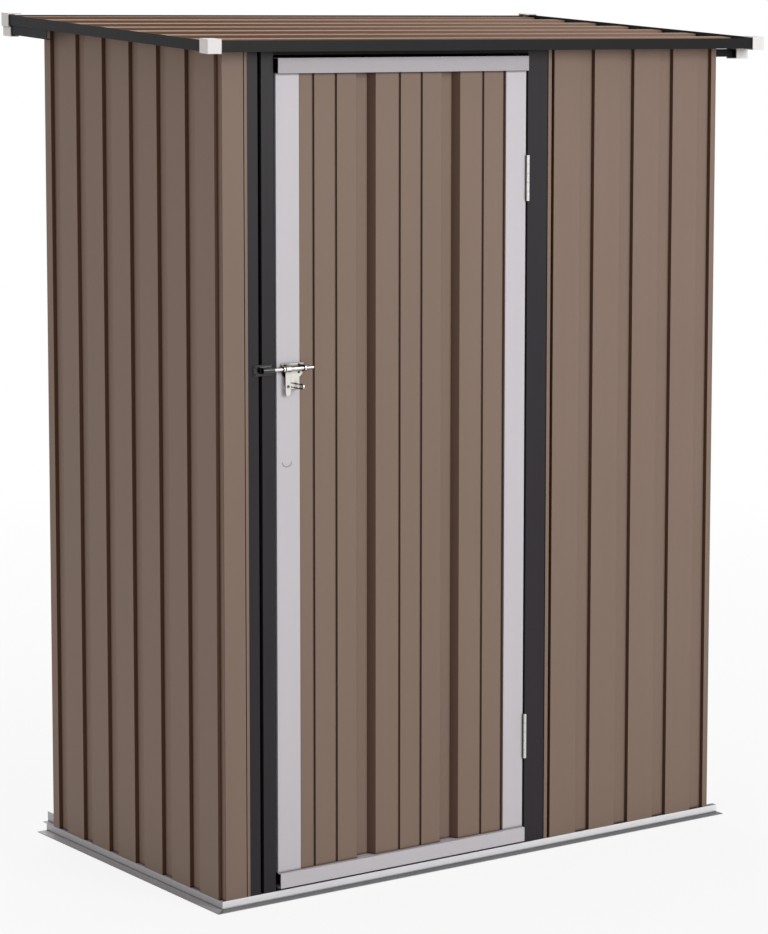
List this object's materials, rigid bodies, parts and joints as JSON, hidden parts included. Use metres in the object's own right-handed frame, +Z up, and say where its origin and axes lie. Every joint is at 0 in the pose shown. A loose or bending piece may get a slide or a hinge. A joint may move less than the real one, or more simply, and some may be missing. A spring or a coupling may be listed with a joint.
{
  "type": "metal tool shed",
  "caption": "Small pent-roof tool shed of ribbed sheet steel, with a sloping roof in edge rails and one hinged door closed by a slide bolt.",
  "frame": {"origin": "on the ground, under the middle of the roof outline", "axes": "+X to the right as seen from the front, +Y to the rear, +Z up"},
  "size_m": [1.489, 0.8684, 1.8632],
  "materials": {
    "brown_sheet": "satin brown coating on ribbed sheet steel",
    "charcoal_frame": "semi-gloss charcoal coating on folded steel",
    "galvanised_frame": "dull galvanised steel of the inside frame",
    "door_grey": "light grey satin coating",
    "base_galvanised": "pale galvanised steel",
    "white_plastic": "off-white moulded plastic",
    "bright_plating": "bright zinc plating with fine wear",
    "black_keeper": "glossy black coating"
  },
  "bodies": {
    "shed": {"base_rail_front": "base_galvanised", "base_rail_left": "base_galvanised", "base_rail_rear": "base_galvanised", "base_rail_right": "base_galvanised", "corner_post_front_left": "galvanised_frame", "corner_post_front_right": "galvanised_frame", "corner_post_rear_left": "galvanised_frame", "corner_post_rear_right": "galvanised_frame", "door_head": "charcoal_frame", "door_post_left": "charcoal_frame", "door_post_right": "charcoal_frame", "front_corner_panel": "brown_sheet", "front_wall_right": "brown_sheet", "hinge_fixed_leaves": "bright_plating", "latch_keeper": "black_keeper", "left_wall": "brown_sheet", "mid_rail_left": "galvanised_frame", "mid_rail_rear": "galvanised_frame", "mid_rail_right": "galvanised_frame", "plastic_caps": "white_plastic", "rear_left_rail_stub": "charcoal_frame", "rear_wall_left": "brown_sheet", "rear_wall_right": "brown_sheet", "right_wall": "brown_sheet", "roof_beam": "galvanised_frame", "roof_rail_front": "charcoal_frame", "roof_rail_left": "charcoal_frame", "roof_rail_rear": "charcoal_frame", "roof_rail_right": "charcoal_frame", "roof_sheet_front": "brown_sheet", "roof_sheet_rear": "brown_sheet", "top_rail_front": "charcoal_frame", "top_rail_left": "galvanised_frame", "top_rail_rear": "galvanised_frame", "top_rail_right": "galvanised_frame"},
    "door": {"door_brace": "door_grey", "door_rail_bottom": "door_grey", "door_rail_top": "door_grey", "door_sheet": "brown_sheet", "door_stile_left": "door_grey", "door_stile_right": "door_grey", "hinge_door_leaves": "bright_plating", "latch_plate": "bright_plating"},
    "bolt_rod": {"bolt_rod": "bright_plating"},
    "bolt_tongue": {"bolt_tongue": "bright_plating"}
  },
  "joints": [
    {"name": "door_hinge", "type": "hinge", "parent": "shed", "child": "door", "pos_m": [0.1065, -0.38325, 0.9], "axis": [0, 0, 1], "range_deg": [0, 110]},
    {"name": "bolt_slide", "type": "slide", "parent": "door", "child": "bolt_rod", "axis": [1, 0, 0], "range_m": [0, 0.012]},
    {"name": "bolt_tongue_turn", "type": "hinge", "parent": "bolt_rod", "child": "bolt_tongue", "pos_m": [-0.52425, -0.38695, 1.127], "axis": [-1, 0, 0], "range_deg": [0, 95]}
  ]
}
